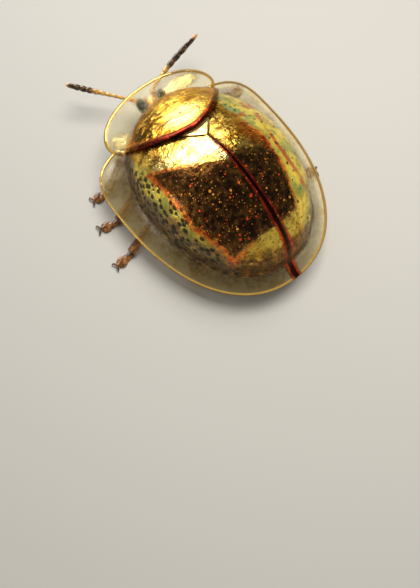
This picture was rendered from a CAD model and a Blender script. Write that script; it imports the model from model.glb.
import math

import bpy
import numpy as np
from mathutils import Matrix, Vector


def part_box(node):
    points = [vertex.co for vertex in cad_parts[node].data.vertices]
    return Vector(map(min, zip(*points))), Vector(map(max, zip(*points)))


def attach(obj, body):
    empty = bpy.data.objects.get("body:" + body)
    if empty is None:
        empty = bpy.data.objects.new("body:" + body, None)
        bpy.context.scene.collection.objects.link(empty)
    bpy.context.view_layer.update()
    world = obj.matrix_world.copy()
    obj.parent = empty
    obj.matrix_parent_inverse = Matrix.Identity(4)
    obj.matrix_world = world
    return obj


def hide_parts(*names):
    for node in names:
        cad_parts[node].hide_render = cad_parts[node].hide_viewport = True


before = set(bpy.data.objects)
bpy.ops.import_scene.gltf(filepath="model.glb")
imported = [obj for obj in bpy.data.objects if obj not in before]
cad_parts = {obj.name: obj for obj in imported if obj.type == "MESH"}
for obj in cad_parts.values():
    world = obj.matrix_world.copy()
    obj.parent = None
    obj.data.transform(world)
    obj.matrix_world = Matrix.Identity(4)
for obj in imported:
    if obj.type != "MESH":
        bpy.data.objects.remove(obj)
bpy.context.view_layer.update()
print("frame loaded")

# Places are in millimetres round the middle of the shield: the head faces -Y and +X is the beetle's
# left. That middle is found again from the boxes of the solids.
mm = 0.001
halfLength = 3.5  # of the whole shield, from the neck rim to the tail
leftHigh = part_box("elytron_left_margin")[1]
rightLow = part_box("elytron_right_margin")[0]
shieldMiddle = Vector(((leftHigh.x + rightLow.x) / 2, leftHigh.y - halfLength * mm, 0))


def place(point):
    return Vector(point) * mm + shieldMiddle


# shader trees
class Value:
    def __init__(self, tree, socket):
        self.tree = tree
        self.socket = socket

    def node(self, kind, settings, inputs, out=0):
        made = self.tree.nodes.new(kind)
        for name, value in settings.items():
            setattr(made, name, value)
        for name, value in inputs.items():
            fill(self.tree, made.inputs[name], value)
        return Value(self.tree, made.outputs[out] if made.outputs else None)

    def maths(self, operation, *values):
        return self.node("ShaderNodeMath", {"operation": operation}, dict(enumerate(values)))

    def __add__(self, other):
        return self.maths("ADD", self, other)

    def __radd__(self, other):
        return self.maths("ADD", other, self)

    def __sub__(self, other):
        return self.maths("SUBTRACT", self, other)

    def __rsub__(self, other):
        return self.maths("SUBTRACT", other, self)

    def __mul__(self, other):
        return self.maths("MULTIPLY", self, other)

    def __rmul__(self, other):
        return self.maths("MULTIPLY", other, self)

    def __truediv__(self, other):
        return self.maths("DIVIDE", self, other)

    def __rtruediv__(self, other):
        return self.maths("DIVIDE", other, self)

    def __pow__(self, other):
        return self.maths("POWER", self, other)

    def __rpow__(self, other):
        return self.maths("POWER", other, self)

    def __abs__(self):
        return self.maths("ABSOLUTE", self)

    def least(self, other):
        return self.maths("MINIMUM", self, other)

    def most(self, other):
        return self.maths("MAXIMUM", self, other)

    def squareFrom(self, spot):  # squared distance from a spot along one axis
        away = self - spot
        return away * away

    def ramp(self, low, high):  # 0 at low and 1 at high, smooth between
        return self.node(
            "ShaderNodeMapRange",
            {"interpolation_type": "SMOOTHSTEP"},
            {0: self, 1: low, 2: high, 3: 0.0, 4: 1.0},
        )

    def band(self, low, high, soft):  # 1 between low and high
        return self.ramp(low - soft, low + soft) * (1 - self.ramp(high - soft, high + soft))

    def mix(self, first, second):  # a colour between two, by this value; 6, 7 and 2 are its colour sockets
        return self.node(
            "ShaderNodeMix", {"data_type": "RGBA"}, {0: self, 6: first, 7: second}, out=2
        )


def fill(tree, socket, value):
    if isinstance(value, Value):
        tree.links.new(value.socket, socket)
    elif isinstance(value, tuple) and len(value) == 3 and len(socket.default_value) == 4:
        socket.default_value = (*value, 1.0)
    else:
        socket.default_value = value


class Look:
    # one material, with the place on the piece in millimetres and textures that go by it
    def __init__(self, name):
        self.material = bpy.data.materials.new(name)
        self.material.use_nodes = True
        self.material.node_tree.nodes.clear()
        self.start = Value(self.material.node_tree, None)
        metres = self.start.node("ShaderNodeTexCoord", {}, {}, out="Object")
        offset = (-shieldMiddle.x / mm, -shieldMiddle.y / mm, 0.0)
        self.here = self.start.node(
            "ShaderNodeVectorMath",
            {"operation": "MULTIPLY_ADD"},
            {0: metres, 1: (1 / mm,) * 3, 2: offset},
        )
        self.x, self.y, self.z = (
            self.start.node("ShaderNodeSeparateXYZ", {}, {0: self.here}, out=axis) for axis in "XYZ"
        )

    def attribute(self, name):
        return self.start.node("ShaderNodeAttribute", {"attribute_name": name}, {}, out="Fac")

    def noise(self, scale, detail=3.0, rough=0.55):
        inputs = {"Vector": self.here, "Scale": scale, "Detail": detail, "Roughness": rough}
        return self.start.node("ShaderNodeTexNoise", {}, inputs)

    def cloud(self, grain, limits):  # a noise as a mask
        return self.noise(*grain).ramp(*limits)

    def mottled(self, grain, limits, first, second):  # two colours mixed by a noise
        return self.cloud(grain, limits).mix(first, second)

    def cells(self, scale, out="Distance", jitter=1.0):
        inputs = {"Vector": self.here, "Scale": scale, "Randomness": jitter}
        return self.start.node("ShaderNodeTexVoronoi", {}, inputs, out=out)

    def shader(self, **inputs):
        names = {key.replace("_", " "): value for key, value in inputs.items()}
        return self.start.node("ShaderNodeBsdfPrincipled", {}, names)

    def bump(self, height, depth, strength=1.0):
        inputs = {"Strength": strength, "Distance": depth * mm, "Height": height}
        return self.start.node("ShaderNodeBump", {}, inputs)

    def between(self, factor, first, second):
        return self.start.node("ShaderNodeMixShader", {}, {0: factor, 1: first, 2: second})

    def finish(self, shader):
        self.start.node("ShaderNodeOutputMaterial", {}, {"Surface": shader})
        return self.material


# shapes that several pieces share, as in the solids but for the hind edge of the neck shield
rim = {
    "halfWidth": 2.73, "middle": -0.67, "front": 2.0, "rear": 4.17,
    "frontPower": 3.9, "rearPower": 2.2,
}
disc = {
    "halfWidth": 2.08, "middle": -0.1, "front": 2.68, "rear": 3.15,
    "frontPower": 2.1, "rearPower": 2.1,
}
dome = {
    "edge": 1.2, "rise": 2.03, "peak": 0.62, "crown": 0.15, "outerFall": 5,
    "slope": 1.43, "slopeAhead": 0.5, "shoulder": 0.425, "shoulderAhead": 0.2, "aheadPower": 1.5,
}
neck = {
    "halfWidth": 1.8, "middle": -2.47, "front": 1.03, "rear": 0.7,
    "frontPower": 2.02, "rearPower": 2.0, "centre": -2.1,
}
lobe = {"y": -0.7, "bow": 0.5, "power": 1.8, "turn": 1.25, "end": 1.5, "drop": 0.2}
search = {"halvings": 36, "ovalFar": 12.0, "neckFar": 7.0}  # how an outline is found from its middle


def insideOval(shape, x, y):
    y = y - shape["middle"]
    power = np.where(y < 0, shape["frontPower"], shape["rearPower"])
    span = np.where(y < 0, shape["front"], shape["rear"])
    return (np.abs(x) / shape["halfWidth"]) ** power + (np.abs(y) / span) ** power < 1


def insideNeck(x, y, grow=0.0):
    x = np.abs(x)
    across = x / (neck["halfWidth"] + grow)
    ahead = y < neck["middle"]
    along = np.abs(y - neck["middle"]) / (np.where(ahead, neck["front"], neck["rear"]) + grow)
    power = np.where(ahead, neck["frontPower"], neck["rearPower"])
    oval = across**power + along**power < 1
    edge = lobe["y"] - lobe["bow"] * x ** lobe["power"] + grow
    edge = edge - lobe["drop"] * (np.maximum(0, x - lobe["turn"]) / (lobe["end"] - lobe["turn"])) ** 2
    return oval | ((x < lobe["end"] + grow) & ~ahead & (y < edge))


def outlineReach(inside, fromY, ux, uy, far):  # how far out an outline lies in each direction
    low, high = np.zeros_like(ux), np.full_like(ux, far)
    for _ in range(search["halvings"]):
        middle = (low + high) / 2
        within = inside(ux * middle, fromY + uy * middle)
        low, high = np.where(within, middle, low), np.where(within, high, middle)
    return low


def ovalReach(shape, ux, uy):
    return outlineReach(lambda x, y: insideOval(shape, x, y), dome["peak"], ux, uy, search["ovalFar"])


def domeFall(share, uy):  # height by the share of the way out: 1 at the peak and 0 at the edge
    front = np.maximum(0, -uy) ** dome["aheadPower"]
    crown = dome["crown"]
    smooth = (np.hypot(share, crown) - crown) / (math.hypot(1, crown) - crown)
    slope = dome["slope"] - dome["slopeAhead"] * front
    return np.maximum(0, 1 - smooth**slope) ** (dome["shoulder"] + dome["shoulderAhead"] * front)


def domePlace(x, y):  # height of the dome over a place, and how far outside its edge the place is
    out = np.hypot(x, y - dome["peak"]) + 1e-9
    ux, uy = x / out, (y - dome["peak"]) / out
    reach = ovalReach(disc, ux, uy)
    share = out / reach
    height = dome["edge"] + dome["rise"] * domeFall(np.minimum(share, 1), uy)
    height = np.where(share > 1, dome["edge"] - dome["outerFall"] * (share - 1), height)
    return height, (share - 1) * reach


def smoothMost(a, b, soft):
    return np.logaddexp(a / soft, b / soft) * soft


def hump(away, width):  # 1 in the middle, falling off on both sides
    return np.exp(-((away / width) ** 2))


def spread(count, crowd):  # 0 to 1, crowded towards both ends
    t = np.linspace(0, 1, count)
    return t - crowd * np.sin(2 * np.pi * t) / (2 * np.pi)


def directions(turn):
    return np.cos(turn), np.sin(turn)


def gridFaces(rows, columns, wrap=False):
    last = columns if wrap else columns - 1
    i, j = np.meshgrid(np.arange(rows - 1), np.arange(last), indexing="ij")
    a = i * columns + j
    b = i * columns + (j + 1) % columns
    return np.stack([a, b, b + columns, a + columns], -1).reshape(-1, 4)


def gridPoints(x, y, z):
    return np.stack([x, y, z], -1).reshape(-1, 3)


def makePiece(name, points, faces, material, nodes, values, thick=0.0):
    points = np.asarray(points, float)
    mesh = bpy.data.meshes.new(name)
    mesh.from_pydata([place(p) for p in points], [], [list(map(int, f)) for f in faces])
    for key, numbers in values.items():
        layer = mesh.attributes.new(key, "FLOAT", "POINT")
        layer.data.foreach_set("value", np.asarray(numbers, np.float32).ravel())
    for face in mesh.polygons:
        face.use_smooth = True
    mesh.materials.append(material)
    mesh.validate()
    piece = bpy.data.objects.new(name, mesh)
    bpy.context.scene.collection.objects.link(piece)
    if thick:
        solidify = piece.modifiers.new("thickness", "SOLIDIFY")
        solidify.thickness = thick * mm
        solidify.offset = -1
        solidify.use_even_offset = False
    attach(piece, "root")
    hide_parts(*nodes)


# the clear rims of the wing cases and the neck shield: tinted glass with a golden line at its edge
black = (0.0, 0.0, 0.0)
goldSheen = (1.0, 0.8, 0.45)
rimLine = {
    "fade": (0.045, 0.07), "edgeFade": (0.006, 0.016), "colours": ((0.2, 0.06, 0.01), (1.0, 0.66, 0.14)),
    "metallic": 0.6, "glow": 0.22, "waveDepth": 0.03, "waveStrength": 0.6,
}


def clearRim(look, toRim, tint, alpha, glass):
    line = 1 - toRim.ramp(*rimLine["fade"])
    lineColour = toRim.ramp(*rimLine["edgeFade"]).mix(*rimLine["colours"])
    return look.shader(
        Base_Color=line.mix(tint, lineColour),
        Metallic=line * rimLine["metallic"],
        Roughness=glass["rough"],
        Transmission_Weight=glass["through"],
        IOR=glass["refraction"],
        Emission_Color=line.mix(black, lineColour),
        Emission_Strength=rimLine["glow"],
        Alpha=alpha + line * glass["lineAlpha"],
        Normal=look.bump(look.noise(*glass["waves"]), rimLine["waveDepth"], rimLine["waveStrength"]),
    )


# wing cases: metallic disc, pitted side band and clear rim in one piece each. A colour ground is a
# noise (scale, detail, roughness), the limits of its ramp and two colours; a cloud has no colours.
case = {
    "around": 260, "domeRows": 80, "rimRows": 30, "crowd": 0.86, "rimCrowd": 0.9,
    "thick": 0.07, "seam": 0.006, "ridge": 0.035, "ridgeWidth": 0.06, "underNeck": 0.16,
    "rimHeight": 0.8, "rimPower": 1.5, "bead": 0.03, "beadIn": 0.05, "beadWidth": 0.045,
    "cornerInside": 9, "cornerOutside": 8, "cornerRounds": 26,
    "wander": (1.5, 4.0, 0.6), "fine": (6.5, 5.0, 0.7), "seamSide": 0.03,
    "gold": ((2.6, 4.0), (0.36, 0.68), (0.62, 0.3, 0.025), (1.0, 0.68, 0.13)),
    "tarnish": ((4.5, 6.0, 0.75), (0.44, 0.56)), "tarnishColour": (0.11, 0.045, 0.008),
    "flash": ((3.0, 3.0), (0.3, 0.6), (0.95, 0.56, 0.08), (1.0, 0.8, 0.3)),
    "flashFront": 0.27, "flashLean": 0.35, "flashFade": (-0.2, 0.14), "flashEnd": (1.4, 1.7),
    "slantAt": 0.7, "slant": 0.75, "slantTurn": 0.9, "slantMore": 0.25,
    "olive": ((2.2, 5.0, 0.6), (0.36, 0.62), (0.85, 0.64, 0.07), (0.32, 0.31, 0.04)),
    "tint": ((1.4, 4.0, 0.65), (0.54, 0.62)), "tintColour": (0.09, 0.3, 0.13),
    "bandSide": 1.58, "bandTurn": 1.2, "bandTaper": 0.28, "bandRight": 0.6,
    "rust": (2.0, 5.0, 0.7), "rustFade": (0.58, 0.64), "rustColour": (0.42, 0.06, 0.012),
    "sun": ((7.0, 5.0, 0.7), (0.42, 0.62), (1.0, 0.7, 0.1), (0.5, 0.3, 0.03)),
    "sunFrom": (2.3, 2.46), "sunUneven": ((2.0, 3.0), (0.4, 0.55)),
    "foot": ((6.0, 4.0), (0.45, 0.65), (0.035, 0.012, 0.004), (0.34, 0.13, 0.02)),
    "footFade": (-0.3, -0.08), "footUneven": ((2.8, 5.0, 0.7), (0.34, 0.46)),
    "streak": (0.5, 0.05, 0.012), "streakAt": 1.22, "streakTurn": 0.9, "streakWidth": 0.06,
    "streakPower": 1.35, "streakBend": 0.25, "streakEnd": 1.9, "streakUneven": ((2.4, 4.0), (0.36, 0.5)),
    "patch": ((6.0, 6.0, 0.78), (0.4, 0.68), (0.03, 0.01, 0.003), (0.26, 0.11, 0.018)),
    "patchEnd": 2.46, "patchEndLean": 0.12, "patchRight": 0.3, "patchRightLean": 0.4,
    "border": ((5.0,), (0.4, 0.6), (0.6, 0.045, 0.008), (0.98, 0.28, 0.03)),
    "borderFade": (-0.14, -0.04), "borderFrom": 0.45, "borderUneven": ((3.0, 4.0), (0.28, 0.42)),
    "pits": 5.6, "pitColour": (0.012, 0.009, 0.005), "pitSize": 0.12, "pitSpread": 0.11,
    "pitMorePale": 0.05, "pitMoreLeft": 0.24,
    "glint": ((0.9, 0.07, 0.012), (1.0, 0.42, 0.05)), "glintGlow": 0.3,
    "tinyPits": 12.0, "tinyFade": (0.09, 0.2),
    "tiny": ((4.0,), (0.4, 0.6), (0.8, 0.1, 0.02), (1.0, 0.5, 0.08)),
    "specks": 9.0, "speckFade": (0.14, 0.26), "speckColour": (0.08, 0.03, 0.006),
    "lineWidth": 0.026, "lineTurn": 0.1, "lineMore": 0.017, "lineColour": (0.03, 0.003, 0.002),
    "redLine": ((5.0, 3.0), (0.42, 0.6), (0.3, 0.015, 0.006), (0.85, 0.06, 0.01)),
    "discLine": ((2.0, 4.0), (0.35, 0.55)), "discLineColour": (0.07, 0.022, 0.006),
    "swell": (2.6, 4.0, 0.55), "ripple": (10.0, 5.0, 0.65), "relief": 0.09, "reliefStrength": 0.8,
    "dirt": ((3.2, 6.0, 0.7), (0.45, 0.62)), "tints": ((0.95, 0.76, 0.27), (0.66, 0.38, 0.07)),
    "veil": ((4.5, 6.0, 0.78), (0.42, 0.58)), "veilColour": (0.3, 0.14, 0.03), "alpha": 0.4,
    "rough": 0.1, "through": 0.88, "refraction": 1.3, "lineAlpha": 0.5, "waves": (4.0, 5.0, 0.6),
}


def caseSurface(side):
    ux, uy = directions(math.pi / 2 - math.pi * spread(case["around"], case["crowd"]))
    discOut = ovalReach(disc, ux, uy)
    rimOut = ovalReach(rim, ux, uy)
    width = rimOut - discOut
    share = np.sin(np.linspace(0, np.pi / 2, case["domeRows"]))[:, None]
    t = (np.linspace(0, 1, case["rimRows"] + 1)[1:] ** case["rimCrowd"])[:, None]
    out = np.concatenate([discOut * share, discOut + width * t])
    slope = (dome["edge"] - case["rimHeight"]) * (1 - t) ** case["rimPower"]
    height = np.concatenate([
        dome["edge"] + dome["rise"] * domeFall(share, uy[None]),
        case["rimHeight"] + slope + 0 * width,
    ])
    edge = np.concatenate([(share - 1) * discOut, t * width])
    toRim = np.concatenate([rimOut - discOut * share, (1 - t) * width])
    low, high = case["domeRows"] - case["cornerInside"], case["domeRows"] + case["cornerOutside"]
    for _ in range(case["cornerRounds"]):  # round the corner between dome and rim
        for numbers in (out, height):
            before, after = numbers[low - 1 : high - 1], numbers[low + 1 : high + 1]
            numbers[low:high] = (before + 2 * numbers[low:high] + after) / 4
    height += case["bead"] * hump(toRim - case["beadIn"], case["beadWidth"])
    x = side * (out * ux + case["seam"])
    y = dome["peak"] + out * uy
    height += case["ridge"] * hump(np.abs(x), case["ridgeWidth"]) * (edge < 0)
    return x, y, height, edge, toRim


def caseLook():
    look = Look("wing case")
    edge, toRim = look.attribute("edge"), look.attribute("toRim")
    x, y = look.x, look.y
    seam = abs(x)  # how far from the seam
    left = x.ramp(-case["seamSide"], case["seamSide"])  # 1 on the left case and 0 on the right one
    wander = look.noise(*case["wander"]) - 0.5
    fine = look.noise(*case["fine"]) - 0.5
    ragged = wander * 0.35 + fine * 0.5  # moves the edges of the markings about

    # gold ground: brown mottling, and a bright slanting band on the left
    tarnish = look.cloud(*case["tarnish"])
    gold = (tarnish * 0.8).mix(look.mottled(*case["gold"]), case["tarnishColour"])
    bandTop = (y + x * case["flashLean"] + ragged * 0.6 + case["flashFront"]).ramp(*case["flashFade"])
    turned = (x - case["slantTurn"]).most(0) * case["slantMore"]
    slant = y + x * case["slant"] + turned + ragged * 0.45 - case["slantAt"]
    flash = left * bandTop * (1 - slant.ramp(-0.05, 0.05)) * (1 - x.ramp(*case["flashEnd"]))
    flash = flash * (0.8 - tarnish * 0.3)
    gold = flash.mix(gold, look.mottled(*case["flash"]))

    # olive side band with green tints and red patches
    tintAmount = 0.2 + left * 0.3 + (seam - 0.8).band(0.0, 0.4, 0.1) * 0.5
    olive = (look.cloud(*case["tint"]) * tintAmount).mix(look.mottled(*case["olive"]), case["tintColour"])
    taper = (y - case["bandTurn"]).most(0) * case["bandTaper"]
    bandSide = case["bandSide"] - taper - (1 - left) * case["bandRight"]
    sideBand = (seam + ragged * 0.6 - bandSide).ramp(-0.06, 0.08)
    base = sideBand.mix(gold, olive)
    moreRust = (1 - left) * (0.06 - y.squareFrom(-0.9) * 0.05)
    rust = (look.noise(*case["rust"]) + moreRust).ramp(*case["rustFade"])
    base = (rust * sideBand * 0.8).mix(base, case["rustColour"])

    # yellow gold towards the tail, and a dark foot round the dome
    sunGold = (y + seam * 0.2 + ragged * 0.3).ramp(*case["sunFrom"]) * (1 - edge.ramp(-0.4, -0.12))
    sunAmount = 0.5 + look.cloud(*case["sunUneven"]) * 0.5
    base = (sunGold * sunAmount).mix(base, look.mottled(*case["sun"]))
    foot = (edge + ragged * 0.9).ramp(*case["footFade"]) * look.cloud(*case["footUneven"])
    base = (foot * 0.92).mix(base, look.mottled(*case["foot"]))

    # a red streak down the outer side of the right wing case
    bend = (case["streakTurn"] - y).most(0) ** case["streakPower"] * case["streakBend"]
    offStreak = abs(seam - (case["streakAt"] + bend) + ragged * 0.25)
    streak = (1 - (offStreak / case["streakWidth"]).ramp(0.5, 1.5)) * (1 - left)
    streak = streak * look.cloud(*case["streakUneven"]) * (1 - (y - case["streakEnd"]).ramp(0.0, 0.3))
    base = (streak * 0.9).mix(base, case["streak"])

    # the dark patch, with a red and orange border outside it
    hindCut = case["patchEnd"] - seam * case["patchEndLean"] - y + ragged * 0.5
    frontRight = (y - seam * case["patchRightLean"] + ragged * 1.4 - case["patchRight"]) * 0.14
    frontCut = frontRight + left * (slant - frontRight)
    inside = (bandSide - 0.03 - seam - ragged * 0.6).least(hindCut).least(frontCut)
    patch = inside.ramp(-0.02, 0.05)
    border = inside.ramp(*case["borderFade"]) * (1 - patch) * (seam - case["borderFrom"]).ramp(0.0, 0.5)
    border = border * look.cloud(*case["borderUneven"])
    base = (border * 0.9).mix(base, look.mottled(*case["border"]))
    base = patch.mix(base, look.mottled(*case["patch"]))

    # round punctures: dark ones on the pale ground, glowing glints on the dark patch
    chance = look.cells(case["pits"], out="Color")
    red, green = (
        look.start.node("ShaderNodeSeparateColor", {}, {0: chance}, out=part) for part in ("Red", "Green")
    )
    pale = (1 - patch) * sideBand
    size = case["pitSize"] + green * case["pitSpread"]
    size = size + pale * (case["pitMorePale"] + left * case["pitMoreLeft"])
    pit = 1 - (look.cells(case["pits"]) / size).ramp(0.7, 1.0)
    glint = red.ramp(0.25, 0.75).mix(*case["glint"])
    base = (pit * (sideBand.most(patch) * 0.65 + 0.3)).mix(base, patch.mix(case["pitColour"], glint))
    tiny = 1 - look.cells(case["tinyPits"]).ramp(*case["tinyFade"])
    base = (tiny * patch * 0.85).mix(base, look.mottled(*case["tiny"]))
    specks = (1 - look.cells(case["specks"]).ramp(*case["speckFade"])) * (1 - patch)
    specks = specks * (1 - sideBand) * (1 - flash)
    base = (specks * 0.75).mix(base, case["speckColour"])

    # the seam: a dark ridge between red edges, wider towards the tail
    uneven = (wander * 0.03 + fine * 0.02) * y.ramp(-0.2, 1.0)
    width = case["lineWidth"] + (y - case["lineTurn"]).most(0) * case["lineMore"] + uneven
    line = 1 - (seam / width).ramp(0.75, 1.15)
    redLine = (1 - (seam / width).ramp(1.4, 2.4)) * (y + wander).ramp(-0.5, 0.2)
    base = (redLine * 0.9).mix(base, look.mottled(*case["redLine"]))
    base = line.mix(base, case["lineColour"])
    discLine = edge.band(-0.02, 0.04, 0.025) * look.cloud(*case["discLine"])
    base = (discLine * 0.85).mix(base, case["discLineColour"])

    swell = look.noise(*case["swell"]) * 0.8 + look.noise(*case["ripple"]) * 0.22
    swell = swell - pit * 0.4 - tiny * patch * 0.15
    glow = pit.most(tiny * 0.8) * patch * (1 - line)
    shell = look.shader(
        Base_Color=base,
        Metallic=0.94 - pale * 0.5 - foot * 0.4 - sunGold * (1 - pale) * 0.35,
        Roughness=0.2 + patch * 0.1 + pit * 0.3 + foot * 0.15,
        Specular_Tint=goldSheen,
        Coat_Weight=(0.06 + patch * 0.2) * (1 - pit) * (1 - foot),
        Coat_Roughness=0.08,
        Emission_Color=glow.mix(black, glint),
        Emission_Strength=case["glintGlow"],
        Normal=look.bump(swell, case["relief"], case["reliefStrength"]),
    )

    # the clear rim: dirt in it, and a brown veil next to the dome
    dirt = look.cloud(*case["dirt"]) * (1 - toRim.ramp(0.3, 0.7) * 0.3)
    veil = (1 - (edge + wander * 0.4).ramp(0.1, 0.55)) * look.cloud(*case["veil"]) * (0.35 + left * 0.65)
    tint = (veil * 0.8).mix((dirt * 0.5).mix(*case["tints"]), case["veilColour"])
    clear = clearRim(look, toRim, tint, case["alpha"] + dirt * 0.2 + veil * 0.3, case)
    clearness = (edge + wander * 0.2 + fine * 0.1).ramp(0.03, 0.12) * (1 - (redLine * 0.85).most(line))
    return look.finish(look.between(clearness, shell, clear))


def buildCases():
    material = caseLook()
    for name, side in (("left", 1), ("right", -1)):
        x, y, z, edge, toRim = caseSurface(side)
        points = gridPoints(x, y, z)
        faces = gridFaces(*x.shape)
        if side < 0:
            faces = faces[:, ::-1]
        hidden = insideNeck(points[:, 0], points[:, 1], -case["underNeck"])
        faces = faces[~hidden[faces].all(1)]
        makePiece(
            f"wing_case_{name}", points, faces, material,
            [f"elytron_{name}", f"elytron_{name}_margin"], {"edge": edge, "toRim": toRim}, case["thick"],
        )
    print("wing cases built")


# neck shield: gold dome that runs out into a clear rim. A gleam is its size, its place across and
# along, how fast it fades each way, how ragged it is, and the limits of its ramp.
shield = {
    "around": 360, "rows": 110, "crowd": 0.8, "smoothRounds": 6, "lift": 0.05, "thick": 0.07,
    "rimHeight": 1.17, "climb": 0.26, "soft": 0.05, "hindFrom": -2.0, "hindOver": 0.3,
    "lip": 0.035, "lipIn": 0.05, "lipWidth": 0.05, "bead": 0.035, "beadIn": 0.06, "beadWidth": 0.05,
    "wander": (2.0, 4.0, 0.6), "fine": (7.0, 5.0, 0.7),
    "gold": ((3.0, 5.0, 0.6), (0.36, 0.66), (0.52, 0.22, 0.018), (0.95, 0.58, 0.08)),
    "mottle": (5.5, 6.0, 0.78), "mottleFade": (0.47, 0.56), "mottleColour": (0.05, 0.015, 0.004),
    "flash": (0.3, (-0.05, -1.32), (0.8, 1.6), (0.3, 0.0), (-0.1, 0.3)), "flashColour": (1.0, 0.72, 0.2),
    "gleamRight": (0.1, (-1.0, -2.85), (0.25, 1.4), (0.16, 0.08), (-0.03, 0.12)),
    "gleamLeft": (0.06, (1.42, -2.35), (0.4, 0.4), (0.12, 0.06), (-0.02, 0.09)),
    "gleamColour": (1.0, 0.8, 0.32),
    "midWidth": 0.016, "midColour": (0.16, 0.06, 0.01),
    "frontLine": ((3.0,), (0.35, 0.55)), "frontLineColour": (0.3, 0.08, 0.012),
    "hindFade": (-2.2, -1.9), "hindWidth": (0.07, 0.1), "hindGlow": (0.6, 0.17, 0.02),
    "hind": ((5.0, 3.0), (0.45, 0.65), (0.08, 0.006, 0.003), (0.36, 0.025, 0.008)),
    "pits": 9.0, "pitFade": (0.1, 0.2), "pitBand": (0.12, 0.36, 0.03), "pitColour": (0.06, 0.02, 0.005),
    "swell": (3.0, 4.0, 0.55), "ripple": (11.0, 5.0, 0.65), "relief": 0.08, "reliefStrength": 0.8,
    "clearIn": 0.24, "tint": (0.98, 0.82, 0.3), "alpha": 0.32,
    "rough": 0.06, "through": 0.93, "refraction": 1.13, "lineAlpha": 0.6, "waves": (3.4, 5.0, 0.6),
}


def shieldLook():
    look = Look("neck shield")
    edge, toRim = look.attribute("edge"), look.attribute("toRim")
    x, y = look.x, look.y
    wander = look.noise(*shield["wander"]) - 0.5
    fine = look.noise(*shield["fine"]) - 0.5

    def gleam(size, spot, fade, rough, limits):
        far = x.squareFrom(spot[0]) * fade[0] + y.squareFrom(spot[1]) * fade[1]
        return (size - far + fine * rough[0] + wander * rough[1]).ramp(*limits)

    # gold with brown mottling, more of it on the left, and a bright spot in the middle
    brown = (x * 0.7 - y.squareFrom(-1.9) * 0.4 + wander * 0.9).ramp(0.0, 0.5)
    mottle = (look.noise(*shield["mottle"]) + brown * 0.05).ramp(*shield["mottleFade"])
    base = (mottle * (0.5 + brown * 0.5)).mix(look.mottled(*shield["gold"]), shield["mottleColour"])
    base = (gleam(*shield["flash"]) * 0.75).mix(base, shield["flashColour"])

    # lines along the middle and the front of the dome, and a maroon band with pits along the hind edge
    midLine = 1 - (abs(x + 0.01 * wander) / shield["midWidth"]).ramp(0.5, 1.2)
    base = (midLine * 0.7).mix(base, shield["midColour"])
    frontLine = (edge + shield["clearIn"] + wander * 0.3).band(-0.16, 0.3, 0.05)
    base = (frontLine * look.cloud(*shield["frontLine"]) * 0.75).mix(base, shield["frontLineColour"])
    hindPart = (y + 0.1 * abs(x)).ramp(*shield["hindFade"])
    hind = (1 - (toRim + fine * 0.03).ramp(*shield["hindWidth"])) * hindPart
    base = (hindPart * toRim.band(0.09, 0.2, 0.03) * 0.55).mix(base, shield["hindGlow"])
    base = hind.mix(base, look.mottled(*shield["hind"]))
    pits = (1 - look.cells(shield["pits"]).ramp(*shield["pitFade"])) * hindPart
    pits = pits * toRim.band(*shield["pitBand"])
    base = (pits * 0.8).mix(base, shield["pitColour"])

    # yellow gleams that reach out over the clear rim on both sides
    gleams = gleam(*shield["gleamLeft"]).most(gleam(*shield["gleamRight"]))
    base = (gleams * 0.8).mix(base, shield["gleamColour"])

    swell = look.noise(*shield["swell"]) + look.noise(*shield["ripple"]) * 0.25 - pits * 0.4
    shell = look.shader(
        Base_Color=base,
        Metallic=0.94,
        Roughness=0.18 + gleams * 0.3,
        Specular_Tint=goldSheen,
        Coat_Weight=0.12,
        Coat_Roughness=0.06,
        Normal=look.bump(swell, shield["relief"], shield["reliefStrength"]),
    )
    clear = clearRim(look, toRim, shield["tint"], shield["alpha"], shield)
    front = (shield["hindFrom"] - y).ramp(-0.3, 0.5)
    clearness = (edge + shield["clearIn"] * front + wander * 0.3 + fine * 0.12).ramp(-0.1, 0.03)
    clearness = clearness * (1 - hind) * (1 - gleams * 0.7)
    return look.finish(look.between(clearness, shell, clear))


def buildShield():
    ux, uy = directions(np.linspace(0, 2 * np.pi, shield["around"], endpoint=False))
    reach = outlineReach(insideNeck, neck["centre"], ux, uy, search["neckFar"])
    for _ in range(shield["smoothRounds"]):
        reach = (np.roll(reach, 1) + 2 * reach + np.roll(reach, -1)) / 4
    share = (np.linspace(0.0, 1, shield["rows"]) ** shield["crowd"])[:, None]
    out = reach * share
    x, y = out * ux, neck["centre"] + out * uy
    toRim = reach * (1 - share)
    height, edge = domePlace(x, y)
    plate = shield["rimHeight"] + shield["climb"] * (1 - share)
    z = smoothMost(height + shield["lift"], plate, shield["soft"])
    hind = np.clip((y - shield["hindFrom"]) / shield["hindOver"], 0, 1)
    z += shield["lip"] * hump(toRim - shield["lipIn"], shield["lipWidth"]) * hind
    z += shield["bead"] * hump(toRim - shield["beadIn"], shield["beadWidth"]) * (1 - hind)
    makePiece(
        "neck_shield", gridPoints(x, y, z), gridFaces(*x.shape, wrap=True), shieldLook(),
        ["pronotum", "pronotum_margin"], {"edge": edge, "toRim": toRim}, shield["thick"],
    )
    print("neck shield built")


# scutellum: the small gold triangle between shield and wing cases
scutellum = {
    "halfWidth": 0.38, "front": -0.76, "tip": -0.28, "sidePower": 1.25, "leastHalf": 0.004,
    "lift": 0.012, "bevel": 0.06, "bevelPower": 0.5, "rows": 24, "columns": 25, "thick": 0.03,
    "gold": ((4.0,), (0.35, 0.7), (0.8, 0.45, 0.07), (1.0, 0.78, 0.26)),
    "line": (0.008, 0.025), "lineAmount": 0.8, "lineColour": (0.12, 0.012, 0.006),
}


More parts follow.
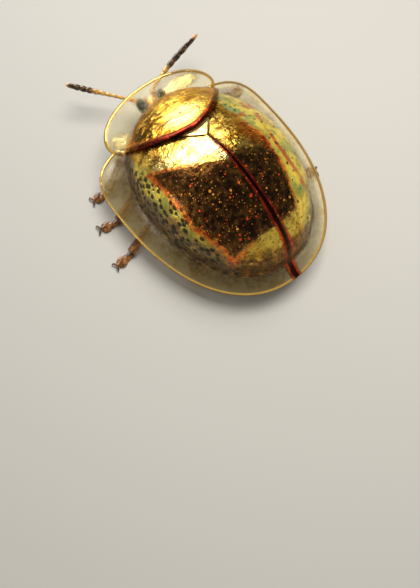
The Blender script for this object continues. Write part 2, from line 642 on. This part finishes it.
def scutellumLook():
    look = Look("scutellum")
    line = (1 - look.attribute("border").ramp(*scutellum["line"])) * scutellum["lineAmount"]
    shell = look.shader(
        Base_Color=line.mix(look.mottled(*scutellum["gold"]), scutellum["lineColour"]),
        Metallic=0.85, Roughness=0.2, Coat_Weight=0.5, Coat_Roughness=0.06,
        Normal=look.bump(look.noise(7.0, 4.0), 0.02, 0.5),
    )
    return look.finish(shell)


def buildScutellum():
    down = np.linspace(0, 1, scutellum["rows"])[:, None]
    across = np.linspace(-1, 1, scutellum["columns"])[None]
    width = scutellum["halfWidth"] * (1 - down ** scutellum["sidePower"]) + scutellum["leastHalf"]
    x = across * width
    y = scutellum["front"] + (scutellum["tip"] - scutellum["front"]) * down + 0 * across
    border = np.minimum((1 - np.abs(across)) * width, (1 - down) * 0.5 + 0 * across)
    bevel = np.clip(border / scutellum["bevel"], 0, 1) ** scutellum["bevelPower"]
    z = domePlace(x, y)[0] + scutellum["lift"] * bevel
    makePiece(
        "scutellum_plate", gridPoints(x, y, z), gridFaces(*x.shape)[:, ::-1], scutellumLook(),
        ["scutellum"], {"border": border}, scutellum["thick"],
    )
    print("scutellum built")


# rounded pieces: tubes along a path and stretched balls, gathered into one mesh
ballGrid = {"rows": 20, "columns": 24, "pole": 0.02}


class Mould:
    def __init__(self):
        self.points, self.faces, self.along = [], [], []

    def add(self, rings, values):  # closed rings of points, the first and the last one are capped
        rings = np.asarray(rings)
        start = len(self.points)
        rows, columns = rings.shape[:2]
        self.points += rings.reshape(-1, 3).tolist()
        self.along += np.repeat(values, columns).tolist()
        self.faces += (gridFaces(rows, columns, wrap=True) + start).tolist()
        self.faces.append([start + k for k in reversed(range(columns))])
        self.faces.append([start + (rows - 1) * columns + k for k in range(columns)])

    def tube(self, path, radii, columns=18, values=None):
        path = np.asarray(path, float)
        tangent = np.gradient(path, axis=0)
        tangent /= np.linalg.norm(tangent, axis=1)[:, None]
        side = np.cross(tangent, (0, 0, 1))
        side /= np.linalg.norm(side, axis=1)[:, None]
        up = np.cross(side, tangent)
        cos, sin = directions(np.linspace(0, 2 * np.pi, columns, endpoint=False)[None, :, None])
        ring = side[:, None] * cos + up[:, None] * sin
        values = np.linspace(0, 1, len(path)) if values is None else values
        self.add(path[:, None] + ring * np.asarray(radii, float)[:, None, None], values)

    def ball(self, middle, radii, facing, value=0.0):  # radii across, ahead and up
        ahead = np.asarray(facing, float) / np.linalg.norm(facing)
        side = np.cross(ahead, (0, 0, 1))
        side /= np.linalg.norm(side)
        up = np.cross(side, ahead)
        down = np.linspace(ballGrid["pole"], np.pi - ballGrid["pole"], ballGrid["rows"])[:, None, None]
        cos, sin = directions(np.linspace(0, 2 * np.pi, ballGrid["columns"], endpoint=False)[None, :, None])
        spots = ahead * np.cos(down) * radii[1]
        spots = spots + side * np.sin(down) * cos * radii[0] + up * np.sin(down) * sin * radii[2]
        self.add(np.asarray(middle) + spots, np.full(ballGrid["rows"], value))

    def make(self, name, material, nodes):
        makePiece(name, self.points, self.faces, material, nodes, {"along": self.along})


def curve(points, count):  # a smooth path through the points
    points = np.asarray(points, float)
    padded = np.concatenate([[2 * points[0] - points[1]], points, [2 * points[-1] - points[-2]]])
    made = []
    for t in np.linspace(0, len(points) - 1.0001, count):  # stops just short of the last point
        i = int(t)
        f = t - i
        a, b, c, d = padded[i : i + 4]
        square = 2 * a - 5 * b + 4 * c - d
        cube = 3 * b - a - 3 * c + d
        made.append(0.5 * (2 * b + (c - a) * f + square * f * f + cube * f**3))
    return np.array(made)


def stepped(values, count):
    return np.interp(np.linspace(0, len(values) - 1, count), range(len(values)), values)


# feelers: eleven beads along a bent path, the last five a dark club
feeler = {
    "left": ((0.09, -3.48, 0.72), (0.95, -4.5, 0.86), (1.52, -5.1, 1.05)),
    "right": ((-0.34, -3.46, 0.72), (-0.65, -3.76, 0.8), (-2.45, -3.94, 1.12)),
    "rings": 12, "columns": 16, "overlap": 1.04, "waist": 0.55, "waistPower": 0.7, "tip": 0.05,
    "radius": (0.075, 0.055, 0.052, 0.052, 0.055, 0.062, 0.078, 0.088, 0.09, 0.088, 0.07),
    "length": (1.3, 0.7, 0.85, 0.9, 0.9, 0.95, 1.05, 1.05, 1.05, 1.1, 1.5),
    "stalk": ((0.55, 0.2, 0.03), (0.95, 0.6, 0.16)), "club": ((0.02, 0.012, 0.006), (0.4, 0.2, 0.05)),
    "clubFrom": (0.5, 0.64), "tipFrom": (0.93, 0.99), "tipColour": (0.75, 0.36, 0.12),
}


def feelerLook():
    look = Look("feeler")
    along = look.attribute("along")
    grain = look.noise(14.0, 4.0, 0.7)
    stalk = grain.ramp(0.3, 0.7).mix(*feeler["stalk"])
    club = grain.ramp(0.5, 0.66).mix(*feeler["club"])
    base = along.ramp(*feeler["clubFrom"]).mix(stalk, club)
    base = along.ramp(*feeler["tipFrom"]).mix(base, feeler["tipColour"])
    shell = look.shader(
        Base_Color=base, Metallic=0.25, Roughness=0.38, Coat_Weight=0.3,
        Normal=look.bump(look.noise(30.0, 3.0), 0.008, 0.6),
    )
    return look.finish(shell)


def buildFeelers():
    material = feelerLook()
    ends = np.cumsum([0, *feeler["length"]]) / sum(feeler["length"])
    f = np.linspace(0.0, 1.0, feeler["rings"])
    swelling = np.sin(np.pi * np.clip(0.1 + f * 0.84, 0, 1)) ** feeler["waistPower"]
    bead = feeler["waist"] + (1 - feeler["waist"]) * swelling
    lastBead = np.sqrt(np.maximum(0, 1 - (np.maximum(0, f - 0.25) / 0.75) ** 2.2))  # a blunt end
    lastBead = np.maximum(feeler["tip"], lastBead)
    for name in ("left", "right"):
        a, b, c = (np.array(p) for p in feeler[name])
        mould = Mould()
        for k, radius in enumerate(feeler["radius"]):
            t = (ends[k] + (ends[k + 1] - ends[k]) * f * feeler["overlap"])[:, None]
            path = (1 - t) ** 2 * a + 2 * t * (1 - t) * b + t**2 * c
            shape = lastBead if k == len(feeler["radius"]) - 1 else bead
            mould.tube(path, radius * shape, feeler["columns"], np.clip(t[:, 0], 0, 1))
        mould.make(f"feeler_{name}", material, [f"antenna_{name}"])
    print("feelers built")


# head with mouthparts and feeler sockets: places are across, ahead and up from the head's middle
head = {
    "middle": (-0.17, -3.12, 0.66), "turn": -0.18, "radii": (0.3, 0.3, 0.27),
    "brow": (0, 0.1, 0.12), "browRadii": (0.17, 0.16, 0.12),
    "neck": ((0, 0, 0.02), (0, -0.35, 0.08)), "neckEnd": (0, -2.35, 0.8), "neckRadius": 0.24,
    "jaw": (0.1, 0.14, -0.2), "jawRadii": (0.09, 0.1, 0.14),
    "palp": ((0.2, 0.1, -0.16), (0.25, 0.2, -0.28), (0.2, 0.27, -0.34)),
    "palpRadii": (0.05, 0.055, 0.045, 0.02),
    "socket": (0.19, 0.31, 0.05), "socketRadii": (0.085, 0.07, 0.08),
    "gold": ((6.0, 4.0), (0.4, 0.6), (0.3, 0.12, 0.02), (0.85, 0.5, 0.1)),
    "goldFrom": 0.6, "goldFade": 0.06, "underColour": (0.25, 0.1, 0.025),
}
eye = {"spot": (0.34, 0.13, 0.1), "radii": (0.15, 0.21, 0.2), "facets": 55.0, "colour": (0.006, 0.005, 0.004)}


def onHead(across, ahead, up):
    c, s = math.cos(head["turn"]), math.sin(head["turn"])
    x, y, z = head["middle"]
    return np.array((x + across * c + ahead * s, y + across * s - ahead * c, z + up))


def headLook():
    look = Look("head")
    upper = (look.z - head["goldFrom"]).ramp(-head["goldFade"], head["goldFade"])
    shell = look.shader(
        Base_Color=upper.mix(head["underColour"], look.mottled(*head["gold"])), Metallic=0.4, Roughness=0.4,
        Normal=look.bump(look.noise(18.0, 4.0), 0.012, 0.8),
    )
    return look.finish(shell)


def eyeLook():
    look = Look("eye")
    facets = look.cells(eye["facets"], jitter=0.25).ramp(0.2, 0.7)
    shell = look.shader(
        Base_Color=eye["colour"], Roughness=0.3, Specular_IOR_Level=0.06,
        Normal=look.bump(facets, 0.003, 0.4),
    )
    return look.finish(shell)


def buildHead():
    facing = onHead(0, 1, 0) - onHead(0, 0, 0)
    mould = Mould()
    mould.ball(head["middle"], head["radii"], facing)
    mould.ball(onHead(*head["brow"]), head["browRadii"], facing)
    neckPath = curve([*(onHead(*p) for p in head["neck"]), head["neckEnd"]], 10)
    mould.tube(neckPath, [head["neckRadius"]] * len(neckPath))
    for side in (-1, 1):
        mirror = np.array((side, 1, 1))
        mould.ball(onHead(*(head["jaw"] * mirror)), head["jawRadii"], facing)
        mould.tube(curve([onHead(*(p * mirror)) for p in head["palp"]], 9), stepped(head["palpRadii"], 9))
        mould.ball(onHead(*(head["socket"] * mirror)), head["socketRadii"], facing)
    mould.make("head_piece", headLook(), ["head"])
    material = eyeLook()
    for name, side in (("left", 1), ("right", -1)):
        mould = Mould()
        mould.ball(onHead(*(eye["spot"] * np.array((side, 1, 1)))), eye["radii"], facing)
        mould.make(f"eyeball_{name}", material, [f"eye_{name}"])
    print("head built")


# legs: root, knee, ankle and toe of each, across and along
leg = {
    "places": {
        "front_left": ((0.85, -1.98), (1.7, -2.3), (2.4, -2.08), (2.96, -2.12)),
        "mid_left": ((0.85, -0.98), (1.75, -1.32), (2.74, -1.12), (3.33, -1.27)),
        "hind_left": ((0.85, 0.1), (1.8, -0.4), (3.02, -0.1), (3.6, -0.06)),
        "front_right": ((-0.85, -1.98), (-1.7, -2.3), (-2.3, -2.2), (-2.75, -2.26)),
        "mid_right": ((-0.85, -0.98), (-1.66, -1.1), (-2.26, -0.86), (-2.76, -0.8)),
        "hind_right": ((-0.85, 0.1), (-1.7, 0.55), (-2.3, 1.05), (-2.75, 1.3)),
    },
    "heights": (0.86, 0.62, 0.2, 0.07), "hip": (0.22, 0.2, 0.2), "kneeBall": (0.12, 0.12, 0.12),
    "femur": (0.13, 0.2, 0.22, 0.17, 0.12), "femurArch": 0.03,
    "tibia": (0.1, 0.085, 0.1, 0.12, 0.13), "tibiaArch": 0.02,
    "pads": (0.1, 0.11, 0.15), "padFirst": 0.12, "padStep": 0.27, "padLength": 0.14, "padHeight": 0.07,
    "lobeApart": 0.45, "lobeWidth": 0.62, "clawJoint": (0.035, 0.05),
    "claw": (0.035, 0.028, 0.006), "clawApart": 0.13, "clawBow": 0.05, "clawReach": 0.16,
    "brown": ((8.0, 4.0, 0.65), (0.38, 0.62), (0.1, 0.035, 0.01), (0.42, 0.17, 0.035)),
    "clawFrom": (0.82, 0.95), "clawColour": (0.05, 0.018, 0.008),
}


def legLook():
    look = Look("leg")
    base = look.mottled(*leg["brown"])
    base = look.attribute("along").ramp(*leg["clawFrom"]).mix(base, leg["clawColour"])
    shell = look.shader(
        Base_Color=base, Roughness=0.35, Coat_Weight=0.35, Coat_Roughness=0.15,
        Normal=look.bump(look.noise(26.0, 4.0), 0.012, 0.7),
    )
    return look.finish(shell)


def lift(height):
    return np.array((0, 0, height))


def addFoot(mould, ankle, toe):
    flatToe = toe * (1, 1, 0)
    ahead = (toe - ankle) * (1, 1, 0)
    across = np.cross(ahead, (0, 0, 1)) / np.linalg.norm(ahead)
    for k, width in enumerate(leg["pads"]):  # flat soled pads, the last one two-lobed
        last = k == len(leg["pads"]) - 1
        middle = ankle + (toe - ankle) * (leg["padFirst"] + leg["padStep"] * k)
        middle[2] = leg["padHeight"]
        radii = (width * (leg["lobeWidth"] if last else 1), leg["padLength"], leg["padHeight"])
        for shift in (-leg["lobeApart"], leg["lobeApart"]) if last else (0,):
            mould.ball(middle + across * shift * width, radii, ahead, 0.75)
    jointEnds = [ankle + (toe - ankle) * 0.6 + lift(0.03), flatToe - ahead * 0.04 + lift(0.13)]
    mould.tube(curve(jointEnds, 8), stepped(leg["clawJoint"], 8), values=np.full(8, 0.8))
    for side in (-1, 1):
        base = flatToe - ahead * 0.05 + lift(0.12)
        tip = flatToe + across * side * leg["clawApart"] + ahead * leg["clawReach"] + lift(0.012)
        middle = (base + tip) / 2 + across * side * leg["clawBow"] + lift(0.05)
        claw = curve([base, middle, tip], 10)
        mould.tube(claw, stepped(leg["claw"], 10), 10, np.linspace(0.85, 1, 10))


def buildLegs():
    material = legLook()
    for name, spots in leg["places"].items():
        root, knee, ankle, toe = (np.array((*p, z)) for p, z in zip(spots, leg["heights"]))
        mould = Mould()
        mould.ball(root, leg["hip"], knee - root)
        femur = curve([root, (root + knee) / 2 + lift(leg["femurArch"]), knee], 20)
        mould.tube(femur, stepped(leg["femur"], 20), values=np.linspace(0, 0.4, 20))
        mould.ball(knee, leg["kneeBall"], ankle - knee, 0.4)
        tibia = curve([knee, (knee + ankle) / 2 + lift(leg["tibiaArch"]), ankle], 20)
        mould.tube(tibia, stepped(leg["tibia"], 20), values=np.linspace(0.4, 0.7, 20))
        addFoot(mould, ankle, toe)
        mould.make(f"leg_piece_{name}", material, [f"leg_{name}"])
    print("legs built")


# underside: prothorax, breast and belly, filling the shell; a keel is its half width and lowest height
under = {
    "cuts": (-2.45, -1.52, 0.52, 2.9), "breast": (0.85, 0.62), "belly": (1.5, 0.72),
    "rows": 120, "columns": 60, "crowd": 0.6, "inset": 0.14, "outline": 2.1, "sideLow": 1.12,
    "keelPower": 8, "bellyTaper": 0.35, "endRound": 0.08, "leastThick": 0.06, "belowDome": 0.3,
    "rings": 5, "groove": 0.06, "grooveWidth": 0.13,
    "brown": ((5.0, 5.0, 0.65), (0.35, 0.65), (0.05, 0.022, 0.008), (0.2, 0.08, 0.02)),
    "sideFrom": (1.1, 1.6), "sideColour": (0.45, 0.25, 0.05),
}


def underLook():
    look = Look("underside")
    base = abs(look.x).ramp(*under["sideFrom"]).mix(look.mottled(*under["brown"]), under["sideColour"])
    shell = look.shader(
        Base_Color=base, Roughness=0.38, Coat_Weight=0.3,
        Normal=look.bump(look.noise(12.0, 4.0), 0.02, 0.6),
    )
    return look.finish(shell)


def buildUnderside():
    material = underLook()
    cuts = under["cuts"]
    for name, first, last in zip(("prothorax", "thorax", "abdomen"), cuts[:-1], cuts[1:]):
        belly = name == "abdomen"
        f = spread(under["rows"], under["crowd"])[:, None]
        y = first + (last - first) * f
        span = (y - disc["middle"]) / np.where(y < disc["middle"], disc["front"], disc["rear"])
        oval = np.maximum(0, 1 - np.abs(span) ** under["outline"]) ** (1 / under["outline"])
        x = np.linspace(-1, 1, under["columns"])[None] * (disc["halfWidth"] - under["inset"]) * oval
        y = y + 0 * x
        keelHalf, keelLow = under["belly"] if belly else under["breast"]
        keelHalf = keelHalf * (1 - under["bellyTaper"] * np.maximum(0, f - 0.5) ** 2 * 4 * belly)
        keel = 1 / (1 + (np.abs(x) / keelHalf) ** under["keelPower"])
        ends = np.clip(np.minimum(f, 1 - f) / under["endRound"], 0, 1) ** 0.5
        low = under["sideLow"] - (under["sideLow"] - keelLow) * keel * (0.5 + 0.5 * ends)
        if belly:
            ring = np.mod(f * under["rings"], 1)
            low = low + under["groove"] * hump(np.minimum(ring, 1 - ring), under["grooveWidth"]) * keel
        top = np.maximum(low + under["leastThick"], domePlace(x, y)[0] - under["belowDome"])
        mould = Mould()
        rings = np.concatenate([np.stack([x, y, low], -1), np.stack([x, y, top], -1)[:, ::-1]], 1)
        mould.add(rings, np.zeros(under["rows"]))
        mould.make(f"{name}_piece", material, [name])
    print("underside built")


buildCases()
buildShield()
buildScutellum()
buildFeelers()
buildHead()
buildLegs()
buildUnderside()


# camera: angles in degrees, place in millimetres
view = {
    "azimuth": 146.84, "elevation": 77.06, "roll": -5.58, "sensor": 36, "clip": (0.1, 2000),
    "position": (3.7435, 4.8749, 13.7157), "focalPixels": 496.72, "longSide": 588,
}


def buildCamera():
    azimuth, elevation, roll = (math.radians(view[key]) for key in ("azimuth", "elevation", "roll"))
    flat = math.cos(elevation)
    back = Vector((math.sin(azimuth) * flat, -math.cos(azimuth) * flat, math.sin(elevation)))
    right = Vector((math.cos(azimuth), math.sin(azimuth), 0))
    upward = back.cross(right)
    rolledRight = right * math.cos(roll) + upward * math.sin(roll)
    rolledUp = upward * math.cos(roll) - right * math.sin(roll)
    data = bpy.data.cameras.new("camera")
    data.sensor_width = view["sensor"]
    data.lens = view["focalPixels"] * data.sensor_width / view["longSide"]
    data.clip_start, data.clip_end = (distance * mm for distance in view["clip"])
    camera = bpy.data.objects.new("camera", data)
    bpy.context.scene.collection.objects.link(camera)
    turn = Matrix((rolledRight, rolledUp, back)).transposed().to_4x4()
    camera.matrix_world = Matrix.Translation(place(view["position"])) @ turn
    bpy.context.scene.camera = camera


# floor and lights: a light is its place, what it points at, its size and its power
studio = {
    "floorHalf": 400, "floorHeight": -0.002, "floorColour": (0.62, 0.585, 0.51), "floorRough": 0.8,
    "world": (0.95, 0.97, 1.0, 1), "worldStrength": 0.16,
    "gleams": {
        "front": ((-1, -23, 14), (0, 0, 2), (20, 8), 7600),
        "low": ((-6, -24, 4.5), (0, -1, 2), (7, 4), 850),
        "left": ((26, -9, 5), (0, 0, 1), (12, 6), 900),
    },
    "above": ((-10, -4, 34), (0, 0, 0), (22, 22), 15000),
}


def areaLight(name, position, target, size, power):
    data = bpy.data.lights.new(name, "AREA")
    data.shape = "RECTANGLE"
    data.size, data.size_y = size[0] * mm, size[1] * mm
    data.energy = power * mm * mm
    light = bpy.data.objects.new(name, data)
    bpy.context.scene.collection.objects.link(light)
    light.location = place(position)
    aim = place(target) - light.location
    light.rotation_euler = aim.to_track_quat("-Z", "Y").to_euler()
    return light


def buildStudio():
    mesh = bpy.data.meshes.new("floor")
    half = studio["floorHalf"]
    corners = ((-half, -half), (half, -half), (half, half), (-half, half))
    mesh.from_pydata([place((*corner, studio["floorHeight"])) for corner in corners], [], [(0, 1, 2, 3)])
    look = Look("floor")
    shell = look.shader(Base_Color=studio["floorColour"], Roughness=studio["floorRough"])
    mesh.materials.append(look.finish(shell))
    floor = bpy.data.objects.new("floor", mesh)
    bpy.context.scene.collection.objects.link(floor)
    world = bpy.data.worlds.new("world")
    bpy.context.scene.world = world
    world.use_nodes = True
    ground = world.node_tree.nodes["Background"]
    ground.inputs["Color"].default_value = studio["world"]
    ground.inputs["Strength"].default_value = studio["worldStrength"]
    for name, settings in studio["gleams"].items():  # these show only as gleams and through the glass
        areaLight(name, *settings).visible_diffuse = False
    above = areaLight("above", *studio["above"])
    above.visible_glossy = above.visible_transmission = False  # lights matt surfaces only


buildCamera()
buildStudio()
bpy.context.scene.view_settings.view_transform = "Standard"
print("studio built")
